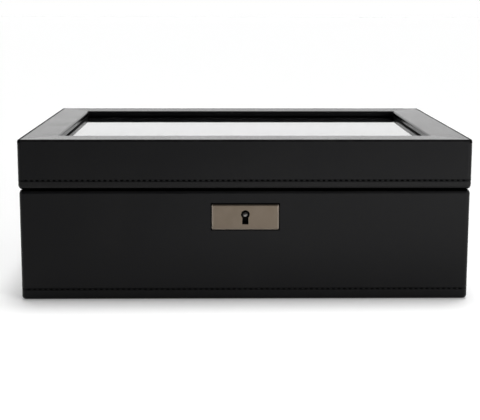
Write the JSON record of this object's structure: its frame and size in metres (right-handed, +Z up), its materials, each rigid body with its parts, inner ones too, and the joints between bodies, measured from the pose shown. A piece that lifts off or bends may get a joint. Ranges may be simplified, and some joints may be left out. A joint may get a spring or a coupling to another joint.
{
  "type": "watch box",
  "caption": "Leather-covered watch box with a hinged glazed lid, keyed box lock and a divided tray of lift-out cushions.",
  "frame": {"origin": "on the table, under the middle of the base", "axes": "+X along the width to the right, +Y to the back, +Z up"},
  "size_m": [0.324, 0.2272, 0.117],
  "materials": {
    "black_leather": "smooth semi-gloss black leather with a fine grain",
    "suede_lining": "matte charcoal suede",
    "cushion_suede": "matte charcoal suede over soft filling",
    "black_felt": "pressed felt",
    "board": "raw fibre board",
    "blackened_wood": "black-stained wood, satin",
    "gunmetal": "brushed brown-grey gunmetal plating",
    "plated_steel": "satin nickel plating",
    "clear_glass": "clear polished glass"
  },
  "bodies": {
    "base": {"base_front_board": "board", "base_back_board": "board", "base_left_board": "board", "base_right_board": "board", "base_floor_board": "board", "base_leather": "black_leather", "base_felt": "black_felt", "front_lining_board": "suede_lining", "back_lining_board": "suede_lining", "left_lining_board": "suede_lining", "right_lining_board": "suede_lining", "floor_lining": "suede_lining", "long_divider": "suede_lining", "cross_divider_1": "suede_lining", "cross_divider_2": "suede_lining", "cross_divider_3": "suede_lining", "cross_divider_4": "suede_lining", "left_hinge_base_leaf": "plated_steel", "right_hinge_base_leaf": "plated_steel", "left_hinge_pin": "plated_steel", "right_hinge_pin": "plated_steel", "hinge_base_screws": "plated_steel", "lock_plate": "gunmetal", "lock_case": "plated_steel", "lock_cover": "plated_steel", "lock_drill_pin": "plated_steel", "lock_screws": "plated_steel"},
    "lid": {"lid_front_wall": "board", "lid_back_wall": "board", "lid_left_wall": "board", "lid_right_wall": "board", "lid_frame_front": "blackened_wood", "lid_frame_back": "blackened_wood", "lid_frame_left": "blackened_wood", "lid_frame_right": "blackened_wood", "lid_leather": "black_leather", "lid_lining": "suede_lining", "glass_pane": "clear_glass", "glass_bead_front": "blackened_wood", "glass_bead_back": "blackened_wood", "glass_bead_left": "blackened_wood", "glass_bead_right": "blackened_wood", "left_hinge_lid_leaf": "plated_steel", "right_hinge_lid_leaf": "plated_steel", "hinge_lid_screws": "plated_steel", "lock_strike": "plated_steel", "strike_screws": "plated_steel"},
    "lock_bolt": {"lock_bolt": "plated_steel"},
    "cushion_front_1": {"cushion_front_1": "cushion_suede"},
    "cushion_front_2": {"cushion_front_2": "cushion_suede"},
    "cushion_front_3": {"cushion_front_3": "cushion_suede"},
    "cushion_front_4": {"cushion_front_4": "cushion_suede"},
    "cushion_front_5": {"cushion_front_5": "cushion_suede"},
    "cushion_back_1": {"cushion_back_1": "cushion_suede"},
    "cushion_back_2": {"cushion_back_2": "cushion_suede"},
    "cushion_back_3": {"cushion_back_3": "cushion_suede"},
    "cushion_back_4": {"cushion_back_4": "cushion_suede"},
    "cushion_back_5": {"cushion_back_5": "cushion_suede"}
  },
  "joints": [
    {"name": "lid_hinge", "type": "hinge", "parent": "base", "child": "lid", "pos_m": [0, 0.11335, 0.081], "axis": [-1, 0, 0], "range_deg": [0, 100]},
    {"name": "bolt_throw", "type": "slide", "parent": "base", "child": "lock_bolt", "axis": [1, 0, 0], "range_m": [0, 0.004]},
    {"name": "cushion_front_1_lift", "type": "slide", "parent": "base", "child": "cushion_front_1", "axis": [0, 0, 1], "range_m": [0, 0.045]},
    {"name": "cushion_front_2_lift", "type": "slide", "parent": "base", "child": "cushion_front_2", "axis": [0, 0, 1], "range_m": [0, 0.045]},
    {"name": "cushion_front_3_lift", "type": "slide", "parent": "base", "child": "cushion_front_3", "axis": [0, 0, 1], "range_m": [0, 0.045]},
    {"name": "cushion_front_4_lift", "type": "slide", "parent": "base", "child": "cushion_front_4", "axis": [0, 0, 1], "range_m": [0, 0.045]},
    {"name": "cushion_front_5_lift", "type": "slide", "parent": "base", "child": "cushion_front_5", "axis": [0, 0, 1], "range_m": [0, 0.045]},
    {"name": "cushion_back_1_lift", "type": "slide", "parent": "base", "child": "cushion_back_1", "axis": [0, 0, 1], "range_m": [0, 0.045]},
    {"name": "cushion_back_2_lift", "type": "slide", "parent": "base", "child": "cushion_back_2", "axis": [0, 0, 1], "range_m": [0, 0.045]},
    {"name": "cushion_back_3_lift", "type": "slide", "parent": "base", "child": "cushion_back_3", "axis": [0, 0, 1], "range_m": [0, 0.045]},
    {"name": "cushion_back_4_lift", "type": "slide", "parent": "base", "child": "cushion_back_4", "axis": [0, 0, 1], "range_m": [0, 0.045]},
    {"name": "cushion_back_5_lift", "type": "slide", "parent": "base", "child": "cushion_back_5", "axis": [0, 0, 1], "range_m": [0, 0.045]}
  ]
}
